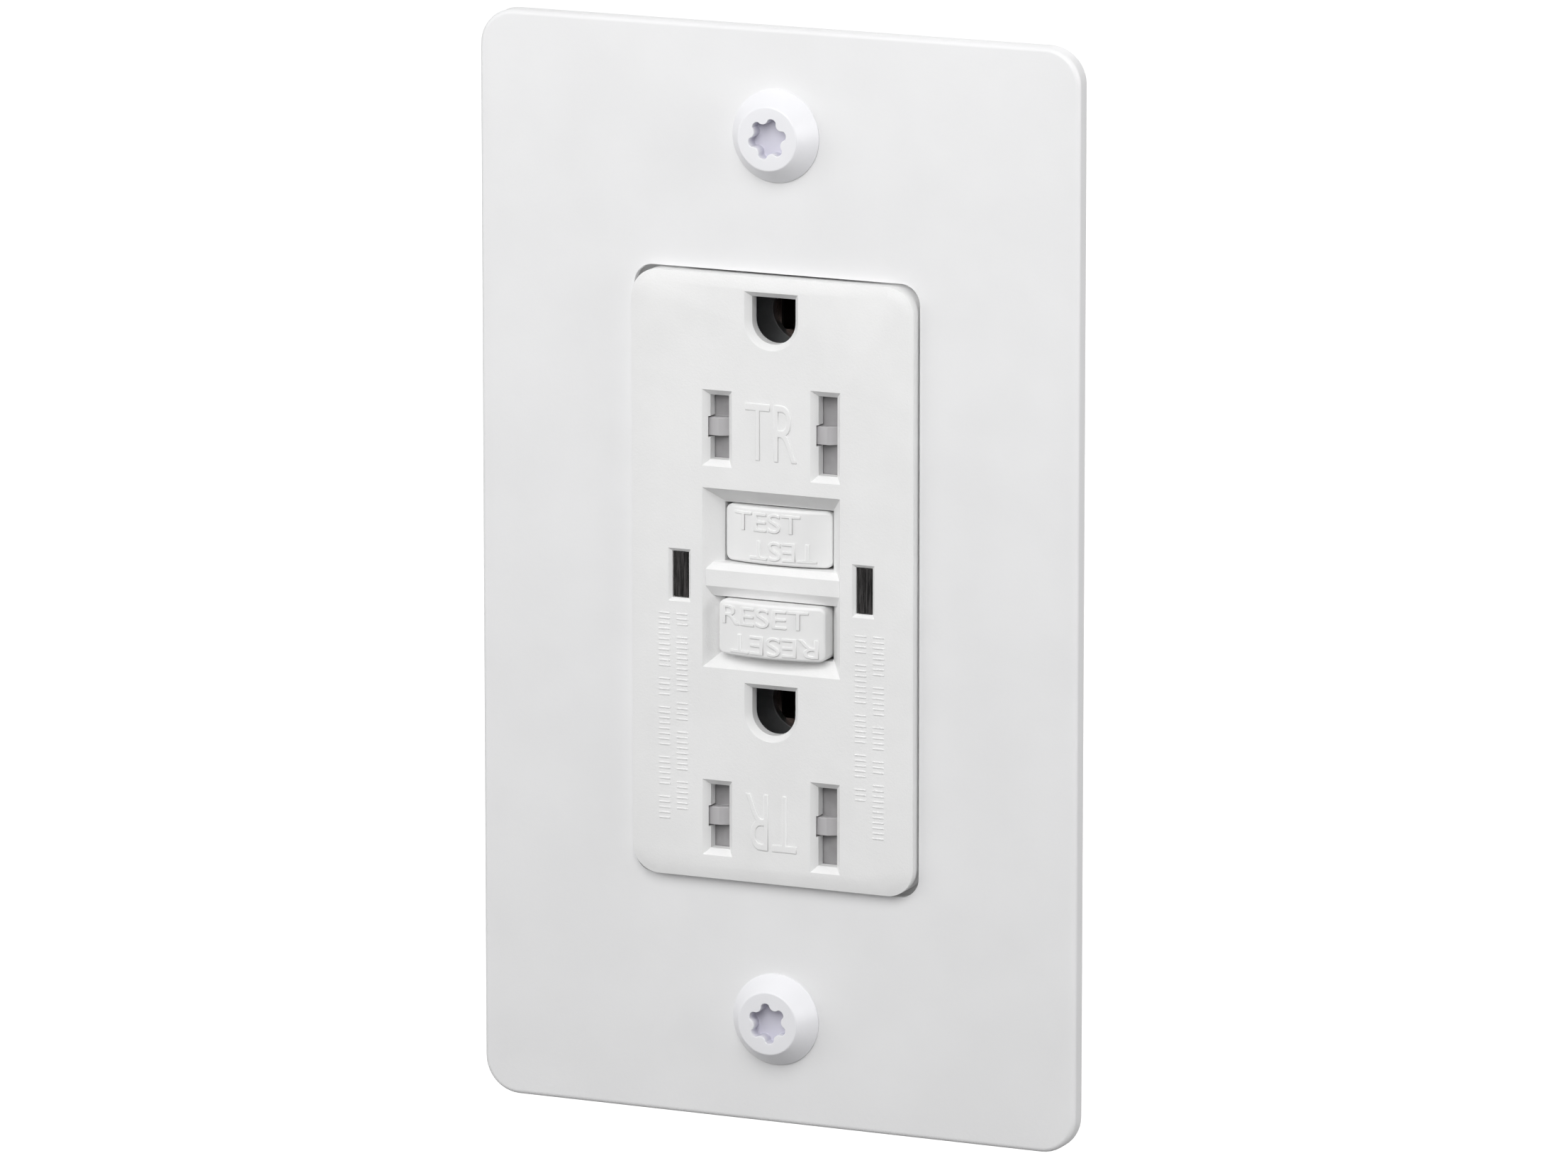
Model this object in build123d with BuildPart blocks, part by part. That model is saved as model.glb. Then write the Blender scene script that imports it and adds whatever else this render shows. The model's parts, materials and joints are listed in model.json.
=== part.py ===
"""A tamper-resistant GFCI outlet with its wall plate, as separate pieces.

Millimetres. +X is right as seen from the room, +Y runs into the wall and +Z is up.
The origin is the centre of the wall plate's back, which lies on the wall at y = 0.
"""
import os

from build123d import *

os.makedirs("parts", exist_ok=True)

# ---- driving dimensions -------------------------------------------------------------------

# wall plate
plate_width, plate_height, plate_depth = 70.0, 120.0, 2.0
plate_sheet, plate_rim, plate_corner = 0.8, 1.2, 4.0
plate_edge_round = 0.55
opening_width, opening_height, opening_corner = 33.4, 66.9, 2.2
plate_screw_z, plate_hole_radius = 48.4, 1.95
plate_screw_shank, plate_screw_end = 1.75, 7.5

# front cover
cover_width, cover_height, cover_corner = 33.0, 66.4, 3.0
cover_front, cover_wall_back, cover_back = -3.4, -1.5, 4.4
cover_bevel_in, cover_bevel_deep = 1.2, 0.3
flange_width, flange_height, flange_front = 42.0, 69.2, 0.4
cavity_width, cavity_height = 29.8, 63.2

# receptacles: both have their ground hole above the blades
receptacle_z = {"upper": 16.4, "lower": -26.4}
blade_x = 6.35
slot_width, hot_slot_height, neutral_slot_height = 2.2, 7.05, 8.65
slot_bevel, bevel_deep = 0.65, 0.75
ground_above_blades, ground_radius = 12.05, 2.55
notch_deep, notch_height, pocket_front = 0.6, 2.3, -2.7

# test and reset buttons, in a recess with sloping walls
recess_x, recess_z, recess_slope, recess_floor = 8.1, 9.85, 1.75, -1.15
button_half_width, button_crown, button_corner = 6.25, 1.0, 0.8
test_span, reset_span = (1.7, 7.9), (-8.25, -2.25)
test_edge, reset_edge = -1.3, -3.2
button_back, button_lip = 3.4, 0.7
button_gap, test_pin_end = 0.15, 9.75
test_z = sum(test_span) / 2
reset_z = sum(reset_span) / 2

# indicator windows
window_x, window_width, window_height, window_bevel = 10.8, 1.95, 5.1, 0.35

# mounting strap, made of sheet steel
strap_sheet, ear_front, strap_back = 1.1, -1.2, 5.5
ear_half_width, ear_neck, ear_end, joggle_z = 19.0, 11.0, 53.1, 34.8
box_screw_z = 41.65
cup_radius, cup_wall = 3.6, 1.1
ground_x, ground_y = -15.5, 11.6
tab_z, tab_end = -34.5, 17.0

# rear housing, with four open wiring bays along its sides
housing_x, housing_z, housing_back, housing_floor = 21.3, 33.2, 28.5, 1.8
housing_inner_x, housing_inner_z = 19.7, 31.6
bay_z, bay_half, bay_inner, bay_wall, bay_front = 18.0, 6.5, 12.6, 1.2, 14.5
terminal_y = 19.2
tube_x, tube_z, tube_radius = 17.0, 29.4, 2.8
wire_x, wire_z = 16.35, 3.5

# working parts behind the strap
carrier_front, carrier_floor, carrier_back = 5.6, 13.4, 14.4
carrier_x, carrier_z, carrier_wall, test_seat = 19.4, 31.2, 1.2, 7.5
board_front, board_back = 24.5, 25.9
bus_x = 12.8
arm_x, arm_pivot_y, arm_pivot_z, arm_tip_z = 13.5, 18.8, 9.2, -8.8
coil_axis_y, toroid_z = 20.0, 18.0
latch_front, latch_sheet = 17.4, 0.8

SIDES = {"hot": -1, "neutral": 1}
ENDS = {"line": 1, "load": -1}


# ---- small helpers ------------------------------------------------------------------------

def facing(depth):
    """The plane at this depth, seen from the room: a positive extrusion comes out of the wall."""
    return Plane.XZ.offset(-depth)


def block(x, y, z, mode=Mode.ADD):
    """A box between its low and high limits on each axis."""
    with Locations((sum(x) / 2, sum(y) / 2, sum(z) / 2)):
        Box(x[1] - x[0], y[1] - y[0], z[1] - z[0], mode=mode)


def rod(axis, centre, span, radius, mode=Mode.ADD):
    """A round bar along X, Y or Z; centre is its place on the two other axes."""
    turn = {"X": (0, 90, 0), "Y": (90, 0, 0), "Z": (0, 0, 0)}[axis]
    place = list(centre)
    place.insert("XYZ".index(axis), sum(span) / 2)
    with Locations(tuple(place)):
        Cylinder(radius, span[1] - span[0], rotation=turn, mode=mode)


def slab(width, height, corner, y, mode=Mode.ADD, centre=(0, 0)):
    """A plate with round corners, square to the wall's depth."""
    with BuildSketch(facing(y[1])) as outline:
        with Locations(centre):
            RectangleRounded(width, height, corner)
    extrude(outline.sketch, amount=y[1] - y[0], mode=mode)


def strip(plane, path, sheet, width, bend=0.6):
    """A bent strip of sheet metal: a path in a plane, traced at the sheet's thickness."""
    with BuildSketch(plane) as section:
        with BuildLine():
            FilletPolyline(*path, radius=bend)
        trace(line_width=sheet)
    extrude(section.sketch, amount=width / 2, both=True)


def coil_spring(axis, centre, span, radius, wire, turns):
    """A coil spring between two seats, kept half a wire clear of each."""
    direction = {"X": (1, 0, 0), "Y": (0, 1, 0), "Z": (0, 0, 1)}[axis]
    start = list(centre)
    start.insert("XYZ".index(axis), span[0] + wire)
    length = span[1] - span[0] - 2 * wire
    with BuildPart() as spring:
        with BuildLine() as path:
            Helix(length / turns, length, radius, center=tuple(start), direction=direction)
        with BuildSketch(Plane(origin=path.line @ 0, z_dir=path.line % 0)):
            Circle(wire)
        sweep(is_frenet=True)
    return spring


def save(piece, name):
    """Labels a finished piece and writes its STEP file."""
    piece.part.label = name
    export_step(piece.part, f"parts/{name}.step")


# ---- wall plate and its screws ------------------------------------------------------------

with BuildPart() as wall_plate:
    with BuildSketch(facing(0)):
        RectangleRounded(plate_width, plate_height, plate_corner)
    extrude(amount=plate_depth)
    fillet(wall_plate.faces().sort_by(Axis.Y)[0].edges(), plate_edge_round)
    slab(plate_width - 2 * plate_rim, plate_height - 2 * plate_rim, plate_corner - plate_rim,
         (plate_sheet - plate_depth, 0), Mode.SUBTRACT)
    slab(opening_width, opening_height, opening_corner, (-plate_depth, 0), Mode.SUBTRACT)
    for end in (-1, 1):
        rod("Y", (0, end * plate_screw_z), (-plate_depth, 0), plate_hole_radius, Mode.SUBTRACT)
save(wall_plate, "wall_plate")

screw_base, screw_face, screw_head, screw_rim = 5.05, 3.45, 2.45, 0.2
socket_core, socket_lobe, socket_deep = 1.85, 0.62, 1.5
screw_turn = {1: 74, -1: 98}
with BuildPart() as plate_screws:
    for end in screw_turn:
        with BuildSketch(Plane.XY.offset(end * plate_screw_z)):
            with BuildLine():
                Polyline((0, -plate_depth), (screw_base, -plate_depth),
                         (screw_base, -plate_depth - screw_rim),
                         (screw_face, -plate_depth - screw_head), (0, -plate_depth - screw_head),
                         close=True)
            make_face()
        revolve(axis=Axis((0, 0, end * plate_screw_z), (0, 1, 0)))
    fillet(plate_screws.edges().filter_by(GeomType.CIRCLE).group_by(Axis.Y)[0], 0.25)
    for end, start in screw_turn.items():
        # a six-lobed socket
        with BuildSketch(facing(-plate_depth - screw_head)):
            with Locations((0, end * plate_screw_z)):
                Circle(socket_core)
                with PolarLocations(socket_core - 0.25, 6, start_angle=start):
                    Circle(socket_lobe)
                with PolarLocations(socket_core + 0.45, 6, start_angle=start + 30):
                    Circle(socket_lobe + 0.06, mode=Mode.SUBTRACT)
        extrude(amount=-socket_deep, mode=Mode.SUBTRACT)
        rod("Y", (0, end * plate_screw_z), (-plate_depth, plate_screw_end), plate_screw_shank)
save(plate_screws, "plate_screws")


# ---- front cover --------------------------------------------------------------------------

def bevelled_slot(centre, width, height, bevel, deep):
    """A square hole through the cover's wall, with sloping sides at its mouth."""
    with BuildSketch(facing(cover_front)) as mouth:
        with Locations(centre):
            Rectangle(width + 2 * bevel, height + 2 * bevel)
    with BuildSketch(facing(cover_front + deep)) as throat:
        with Locations(centre):
            Rectangle(width, height)
    loft([mouth.sketch.face(), throat.sketch.face()], mode=Mode.SUBTRACT)
    block((centre[0] - width / 2, centre[0] + width / 2), (cover_front, cover_wall_back),
          (centre[1] - height / 2, centre[1] + height / 2), Mode.SUBTRACT)


def ground_outline(depth, centre_z, grow):
    """The U-shaped ground hole: flat above, round below."""
    radius = ground_radius + grow
    with BuildSketch(facing(depth)) as outline:
        with Locations((0, centre_z)):
            Circle(radius)
            with Locations((0, radius / 2)):
                Rectangle(2 * radius, radius)
    return outline.sketch


with BuildPart() as front_cover:
    # the face, whose front edge slopes back a little all round
    slab(cover_width, cover_height, cover_corner, (cover_front + cover_bevel_deep, 1.0))
    with BuildSketch(facing(cover_front + cover_bevel_deep)):
        RectangleRounded(cover_width, cover_height, cover_corner)
    with BuildSketch(facing(cover_front)):
        RectangleRounded(cover_width - 2 * cover_bevel_in, cover_height - 2 * cover_bevel_in,
                         cover_corner - cover_bevel_in)
    loft()
    # the flange that the strap holds from behind, and the cavity for the shutters
    slab(flange_width, flange_height, 2.0, (flange_front, cover_back))
    slab(cavity_width, cavity_height, 1.2, (cover_wall_back, cover_back), Mode.SUBTRACT)
    block((-9.2, 9.2), (cover_wall_back, 2.6), (-10.4, 10.4))
    # recess around the buttons, with the bridge between them
    with BuildSketch(facing(cover_front)):
        Rectangle(2 * recess_x, 2 * recess_z)
    with BuildSketch(facing(recess_floor)):
        Rectangle(2 * (recess_x - recess_slope), 2 * (recess_z - recess_slope))
    loft(mode=Mode.SUBTRACT)
    for low, high in (test_span, reset_span):
        block((-button_half_width - button_gap, button_half_width + button_gap),
              (recess_floor - 0.5, 2.6), (low - button_gap, high + button_gap), Mode.SUBTRACT)
    with BuildSketch(Plane.YZ):
        with BuildLine():
            Polyline((cover_front + 0.3, -0.95), (cover_front + 0.3, 0.85), (-2.4, 1.55),
                     (recess_floor, 1.55), (recess_floor, -2.1), (-2.4, -2.1), close=True)
        make_face()
    extrude(amount=7.85, both=True)
    # blade slots and ground holes
    for z in receptacle_z.values():
        for side, height in ((-1, hot_slot_height), (1, neutral_slot_height)):
            bevelled_slot((side * blade_x, z), slot_width, height, slot_bevel, bevel_deep)
            left = side * blade_x - slot_width / 2
            block((left - notch_deep, left), (cover_front + bevel_deep - 0.2, cover_wall_back),
                  (z - notch_height / 2, z + notch_height / 2), Mode.SUBTRACT)
            block((left - 3.4, left), (pocket_front, cover_wall_back),
                  (z - notch_height / 2, z + notch_height / 2), Mode.SUBTRACT)
        hole_z = z + ground_above_blades
        throat = ground_outline(cover_front + bevel_deep, hole_z, 0)
        loft([ground_outline(cover_front, hole_z, 0.6).face(), throat.face()], mode=Mode.SUBTRACT)
        extrude(throat, amount=-2, mode=Mode.SUBTRACT)
    # indicator windows
    for side in (-1, 1):
        bevelled_slot((side * window_x, 0), window_width, window_height, window_bevel, window_bevel)
    # blind holes for the housing screws
    for x in (-tube_x, tube_x):
        for z in (-tube_z, tube_z):
            rod("Y", (x, z), (1.4, cover_back), 1.35, Mode.SUBTRACT)
save(front_cover, "front_cover")


# ---- test and reset buttons ---------------------------------------------------------------

def button(span, edge):
    """A crowned key with a flange behind that keeps it in the cover."""
    w, back = button_half_width, button_back
    with BuildPart() as key:
        with BuildSketch(Plane.XY.offset(span[0])):
            with BuildLine():
                ThreePointArc((-w, edge), (0, edge - button_crown), (w, edge))
                Polyline((w, edge), (w, back), (-w, back), (-w, edge))
            make_face()
        extrude(amount=span[1] - span[0])
        fillet(key.edges().filter_by(Axis.Y), button_corner)
        fillet(key.faces().sort_by(Axis.Y)[0].edges(), 0.35)
        block((-w - button_lip, w + button_lip), (back - button_lip, back),
              (span[0] + 0.3, span[1] - 0.3))
    return key


test_button = button(test_span, test_edge)
with test_button:
    rod("Y", (0, test_z), (button_back, test_pin_end), 1.0)
save(test_button, "test_button")

stem_radius, shoulder_front, shoulder_radius, neck_radius = 1.2, 15.3, 1.5, 0.8
reset_button = button(reset_span, reset_edge)
with reset_button:
    rod("Y", (0, reset_z), (-0.5, button_back), stem_radius + 0.05, Mode.SUBTRACT)
save(reset_button, "reset_button")

with BuildPart() as reset_stem:
    with BuildSketch(Plane.XY.offset(reset_z)):
        with BuildLine():
            Polyline((0, -0.4), (stem_radius, -0.4), (stem_radius, 11.0), (neck_radius, 11.4),
                     (neck_radius, shoulder_front), (shoulder_radius, shoulder_front),
                     (shoulder_radius, shoulder_front + 0.7), (0.7, shoulder_front + 1.5),
                     (0, shoulder_front + 1.5), close=True)
        make_face()
    revolve(axis=Axis((0, 0, reset_z), (0, 1, 0)))
save(reset_stem, "reset_stem")

reset_spring = coil_spring("Y", (0, reset_z), (button_back, carrier_floor), 2.3, 0.25, 6)
save(reset_spring, "reset_spring")
test_spring = coil_spring("Y", (0, test_z), (button_back, test_seat - 0.1), 1.6, 0.2, 4)
save(test_spring, "test_spring")

leaf_pivot_x, leaf_y = -8.2, 10.05
with BuildPart() as test_contact_leaf:
    strip(Plane.XY.offset(test_z), [(leaf_pivot_x, leaf_y), (2.2, leaf_y), (3.1, leaf_y - 0.4)],
          0.3, 2.4, 0.5)
save(test_contact_leaf, "test_contact_leaf")


# ---- shutters behind the blade slots ------------------------------------------------------

shutter_travel, shutter_front, shutter_back, shutter_half = 2.6, -1.35, 0.05, 5.0
shutter_left, shutter_right, nose_front, nose_low = -10.4, 11.3, -2.5, -1.8
tray_front, tray_back = 0.2, 1.2
for level, z in receptacle_z.items():
    with BuildPart() as shutter:
        block((shutter_left, shutter_right), (shutter_front, shutter_back),
              (z - shutter_half, z + shutter_half))
        for side in (-1, 1):
            open_x = side * blade_x + shutter_travel
            block((open_x - 1.3, open_x + 1.3), (shutter_front, shutter_back),
                  (z - 4.45, z + 4.45), Mode.SUBTRACT)
            nose = side * blade_x - slot_width / 2
            with BuildSketch(Plane.XY.offset(z)):
                with BuildLine():
                    Polyline((nose - notch_deep + 0.1, shutter_front),
                             (nose - notch_deep + 0.1, nose_front), (nose + 0.9, nose_front),
                             (nose + slot_width - 0.1, nose_low),
                             (nose + slot_width - 0.1, shutter_front), close=True)
                make_face()
            extrude(amount=notch_height / 2 - 0.15, both=True)
    save(shutter, f"{level}_shutter")

    with BuildPart() as tray:
        block((-14.4, 14.4), (tray_front, tray_back), (z - shutter_half, z + shutter_half))
        for side in (-1, 1):
            block((side * blade_x - 1.4, side * blade_x + 1.4), (tray_front, tray_back),
                  (z - 4.4, z + 4.4), Mode.SUBTRACT)
            block((side * 14.0 - 0.4, side * 14.0 + 0.4), (shutter_front, tray_front),
                  (z + 2, z + 4.6))
    save(tray, f"{level}_shutter_tray")

    shutter_spring = coil_spring("X", (-0.65, z), (-cavity_width / 2, shutter_left), 0.62, 0.12, 5)
    save(shutter_spring, f"{level}_shutter_spring")


# ---- mounting strap -----------------------------------------------------------------------

with BuildPart() as mounting_strap:
    # the web behind the cover, with windows for the blades, the keys and the indicators
    block((-19.6, 19.6), (strap_back - strap_sheet, strap_back), (tab_z, joggle_z))
    block((-ear_neck, ear_neck), (strap_back - strap_sheet, strap_back), (-joggle_z, tab_z))
    for z in receptacle_z.values():
        for x in ((-10.6, -3.6), (3.6, 10.6)):
            block(x, (4.0, 6.0), (z - 5.2, z + 5.2), Mode.SUBTRACT)
        rod("Y", (0, z + ground_above_blades), (4.0, 6.0), 3.3, Mode.SUBTRACT)
    block((-9.0, 9.0), (4.0, 6.0), (-9.4, 9.4), Mode.SUBTRACT)
    for side in (-1, 1):
        block((side * window_x - 1.5, side * window_x + 1.5), (4.0, 6.0), (-3, 3), Mode.SUBTRACT)
    for x in (-tube_x, tube_x):
        for z in (-tube_z, tube_z):
            rod("Y", (x, z), (4.0, 6.0), 1.45, Mode.SUBTRACT)
    for end in (-1, 1):
        # each end steps forward and turns out into an ear that lies on the wall
        step = sorted((end * joggle_z, end * (joggle_z + strap_sheet)))
        block((-ear_neck, ear_neck), (ear_front, strap_back), step)
        ear = sorted((end * joggle_z, end * ear_end))
        wing = sorted((end * 43.4, end * ear_end))
        block((-ear_neck, ear_neck), (ear_front, ear_front + strap_sheet), ear)
        block((-ear_half_width, ear_half_width), (ear_front, ear_front + strap_sheet), wing)
        for x in (-12.2, 12.2):
            score = sorted((end * 44.8, end * 51.6))
            block((x - 0.4, x + 0.4), (-2, 0), score, Mode.SUBTRACT)
        # a drawn cup takes the mounting screw's head below the wall plate
        rod("Y", (0, end * box_screw_z), (-0.3, 1.0), cup_radius + cup_wall)
        rod("Y", (0, end * box_screw_z), (-2, ear_front + strap_sheet), cup_radius, Mode.SUBTRACT)
        with BuildSketch(facing(2)) as slot:
            with Locations((0, end * box_screw_z)):
                SlotOverall(5.6, 3.6)
        extrude(slot.sketch, amount=4, mode=Mode.SUBTRACT)
        rod("Y", (0, end * plate_screw_z), (-2, 2), 1.8, Mode.SUBTRACT)
    corners = mounting_strap.edges().filter_by(Axis.Y).filter_by(
        lambda e: abs(e.center().X) > 18.9 and abs(e.center().Z) > 43)
    fillet(corners, 2.5)
    # the stakes that rivet the ground contacts on
    for z in receptacle_z.values():
        for x in (-6.2, 6.2):
            rod("Y", (x, z + ground_above_blades), (strap_back, strap_back + 0.55), 0.75)
            rod("Y", (x, z + ground_above_blades), (strap_back + 0.55, strap_back + 1.1), 1.3)
    # the tab for the ground screw
    block((ground_x - 3.7, ground_x + 3.7), (strap_back - strap_sheet, tab_end),
          (tab_z, tab_z + strap_sheet))
    rod("Z", (ground_x, ground_y), (-36, -32), 2.0, Mode.SUBTRACT)
save(mounting_strap, "mounting_strap")

with BuildPart() as mounting_screws:
    for z in (-box_screw_z, box_screw_z):
        rod("Y", (0, z), (ear_front + 0.05, -0.12), 3.3)
        block((-4, 4), (ear_front, -0.6), (z - 0.4, z + 0.4), Mode.SUBTRACT)
        rod("Y", (0, z), (-0.12, 2.2), 1.4)
        rod("Y", (0, z), (2.2, 23.4), 1.75)
        with Locations((0, 23.8, z)):
            Cone(1.75, 1.1, 0.8, rotation=(-90, 0, 0))
save(mounting_screws, "mounting_screws")

with BuildPart() as screw_retainers:
    for z in (-box_screw_z, box_screw_z):
        block((-4, 4), (1.05, 1.85), (z - 4, z + 4))
        rod("Y", (0, z), (1, 2), 1.5, Mode.SUBTRACT)
    fillet(screw_retainers.edges().filter_by(Axis.Y).filter_by(GeomType.LINE), 1.0)
save(screw_retainers, "screw_retainers")


# ---- ground contacts and ground screw -----------------------------------------------------

for level, z in receptacle_z.items():
    hole_z = z + ground_above_blades
    with BuildPart() as ground_contact:
        block((-7.4, 7.4), (strap_back, strap_back + 0.5), (hole_z - 3.1, hole_z + 3.1))
        block((-2.75, 2.75), (5, 7), (hole_z - 2.4, hole_z + 2.65), Mode.SUBTRACT)
        for side in (-1, 1):
            strip(Plane.XY.offset(hole_z),
                  [(side * 5.0, 5.75), (side * 3.35, 5.75), (side * 2.5, 10.2), (side * 3.1, 12.6)],
                  0.5, 4.6)
            rod("Y", (side * 6.2, hole_z), (5, 7), 0.8, Mode.SUBTRACT)
    save(ground_contact, f"{level}_ground_contact")


def terminal_screw(axis, centre, head, tip, radius=3.9):
    """A binding-head screw: head gives the inner and outer faces, tip the far end."""
    outward = 1 if head[1] > head[0] else -1
    with BuildPart() as screw:
        rod(axis, centre, sorted(head), radius)
        rod(axis, centre, sorted((tip, head[0])), 1.95)
        chamfer(screw.edges().filter_by(GeomType.CIRCLE).sort_by(Axis(
            (0, 0, 0), {"X": (outward, 0, 0), "Z": (0, 0, outward)}[axis]))[-1], 0.4)
        mid = list(centre)
        mid.insert("XYZ".index(axis), head[1] - outward * 0.5)
        for across in ((7.0, 1.1), (1.1, 4.4)):
            size = list(across)
            size.insert("XYZ".index(axis), 1.02)
            with Locations(tuple(mid)):
                Box(*size, mode=Mode.SUBTRACT)
    return screw


washer_z = (-36.4, -35.6)
ground_screw = terminal_screw("Z", (ground_x, ground_y), (washer_z[0] - 0.1, washer_z[0] - 1.9),
                              -33.7, 3.8)
save(ground_screw, "ground_screw")

with BuildPart() as ground_clamp:
    block((ground_x - 3.5, ground_x + 3.5), (ground_y - 4.2, ground_y + 4.2), washer_z)
    rod("Z", (ground_x, ground_y), (-37, -35), 2.05, Mode.SUBTRACT)
    fillet(ground_clamp.edges().filter_by(Axis.Z).filter_by(GeomType.LINE), 1.0)
save(ground_clamp, "ground_clamp")


# ---- buses, terminals and contacts --------------------------------------------------------

def terminal_plate(side, z):
    """The flat of a wire terminal in its bay, drilled for the screw."""
    x = sorted((side * 17.9, side * 19.1))
    block(x, (15.0, 23.6), (z - 5.0, z + 5.0))
    rod("X", (terminal_y, z), sorted((side * 17, side * 20)), 2.1, Mode.SUBTRACT)


for pole, side in SIDES.items():
    # the bus joins the blade contacts of both receptacles and carries the fixed contact
    with BuildPart() as bus:
        block(sorted((side * (bus_x - 0.4), side * (bus_x + 0.4))), (9.2, 13.05), (-29.8, 20.2))
        for z in receptacle_z.values():
            path = [(side * (blade_x + x), y) for x, y in
                    ((1.7, 6.4), (0.95, 8.6), (1.5, 12.8), (-1.5, 12.8), (-0.95, 8.6), (-1.7, 6.4))]
            strip(Plane.XY.offset(z), path, 0.5, 6.8, 0.5)
            block(sorted((side * (blade_x + 1.0), side * bus_x)), (12.55, 13.05), (z - 3.4, z + 3.4))
        block(sorted((side * bus_x, side * (arm_x + 1.6))), (12.25, 13.05),
              (arm_tip_z - 1.6, arm_tip_z + 1.6))
    save(bus, f"{pole}_bus")

    # the line conductor turns in through the transformers and ends on the board
    with BuildPart() as line_terminal:
        terminal_plate(side, bay_z)
        strip(Plane.XY.offset(bay_z), [(side * 18.5, 20.0), (side * 18.5, 15.0), (side * 2.3, 15.0),
                                       (side * 2.3, board_front)], 0.8, 3.0)
        rod("X", (terminal_y, bay_z), sorted((side * 17, side * 20)), 2.1, Mode.SUBTRACT)
    save(line_terminal, f"line_{pole}_terminal")

    # the load terminal reaches forward through the carrier to the bus
    with BuildPart() as load_terminal:
        terminal_plate(side, -bay_z)
        strip(Plane.XY.offset(-bay_z), [(side * 18.5, 20.0), (side * 18.5, 12.65),
                                        (side * (bus_x + 0.4), 12.65)], 0.8, 4.0)
        rod("X", (terminal_y, -bay_z), sorted((side * 17, side * 20)), 2.1, Mode.SUBTRACT)
    save(load_terminal, f"load_{pole}_terminal")

    for end, sign in ENDS.items():
        z = sign * bay_z
        with BuildPart() as clamp:
            block(sorted((side * 13.6, side * 14.8)), (15.9, 22.9), (z - 4.4, z + 4.4))
            rod("X", (terminal_y, z), sorted((side * 13, side * 16)), 2.05, Mode.SUBTRACT)
        save(clamp, f"{end}_{pole}_clamp")
        screw = terminal_screw("X", (terminal_y, z), (side * 19.3, side * 21.5), side * 13.1)
        save(screw, f"{end}_{pole}_screw")

    # the moving arm swings forward about its root and closes on the fixed contact
    with BuildPart() as arm:
        block(sorted((side * (arm_x - 1.3), side * (arm_x + 1.3))), (18.6, 19.0),
              (arm_tip_z - 1.4, arm_pivot_z))
        rod("Y", (side * arm_x, arm_tip_z), (17.8, 18.6), 1.4)
        rod("X", (arm_pivot_y, arm_pivot_z), sorted((side * (arm_x - 1.3), side * (arm_x + 1.3))), 0.35)
    save(arm, f"{pole}_contact_arm")

with BuildPart() as fixed_contacts:
    for side in (-1, 1):
        rod("Y", (side * arm_x, arm_tip_z), (13.05, carrier_back), 0.8)
        rod("Y", (side * arm_x, arm_tip_z), (carrier_back, 15.9), 1.4)
save(fixed_contacts, "fixed_contacts")

with BuildPart() as arm_brackets:
    for side in (-1, 1):
        x = sorted((side * (arm_x - 1.5), side * (arm_x + 1.5)))
        block(x, (19.4, board_front), (arm_pivot_z - 0.4, arm_pivot_z + 0.4))
        block(x, (18.0, 20.2), (arm_pivot_z + 0.5, arm_pivot_z + 1.0))
        block(x, (19.6, 20.4), (arm_pivot_z - 0.4, arm_pivot_z + 1.0))
save(arm_brackets, "arm_brackets")


# ---- carrier, housing and board -----------------------------------------------------------

with BuildPart() as middle_carrier:
    block((-carrier_x, carrier_x), (carrier_front, carrier_back), (-carrier_z, carrier_z))
    block((carrier_wall - carrier_x, carrier_x - carrier_wall), (carrier_front, carrier_floor),
          (carrier_wall - carrier_z, carrier_z - carrier_wall), Mode.SUBTRACT)
    block((-8.0, 8.0), (carrier_front, carrier_floor), (29.9, 31.3), Mode.SUBTRACT)
    for x in (-tube_x, tube_x):
        for z in (-tube_z, tube_z):
            block((x - 3.1, x + 3.1), (5, 15), (z - 3.1, z + 3.1), Mode.SUBTRACT)
    for side in (-1, 1):
        block((side * 18.4 - 1.2, side * 18.4 + 1.2), (12.0, 15), (-bay_z - 2.3, -bay_z + 2.3),
              Mode.SUBTRACT)
        block((side * window_x - 1.2, side * window_x + 1.2), (13, 15), (-2.8, 2.8), Mode.SUBTRACT)
        rod("Y", (side * arm_x, arm_tip_z), (13, 15), 0.85, Mode.SUBTRACT)
        # ribs that guide the lifter
        block((side * 5.7 - 0.6, side * 5.7 + 0.6), (carrier_back, 20.6), (-3.9, -2.0))
        # walls that hold the seat of the test spring
        wall = sorted((test_z + side * 2.2, test_z + side * 2.9))
        block((-4.2, 4.2), (test_seat, carrier_floor), wall)
    block((-4.2, 4.2), (test_seat, test_seat + 0.8), (test_z - 2.3, test_z + 2.3))
    rod("Y", (0, test_z), (7, 9), 1.2, Mode.SUBTRACT)
    rod("Y", (0, reset_z), (13, 15), 1.8, Mode.SUBTRACT)
    block((-9.6, -8.6), (9.2, carrier_floor), (test_z - 1.2, test_z + 1.2))
    rod("Y", (2.6, test_z), (12.6, carrier_floor), 0.6)
save(middle_carrier, "middle_carrier")

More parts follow.
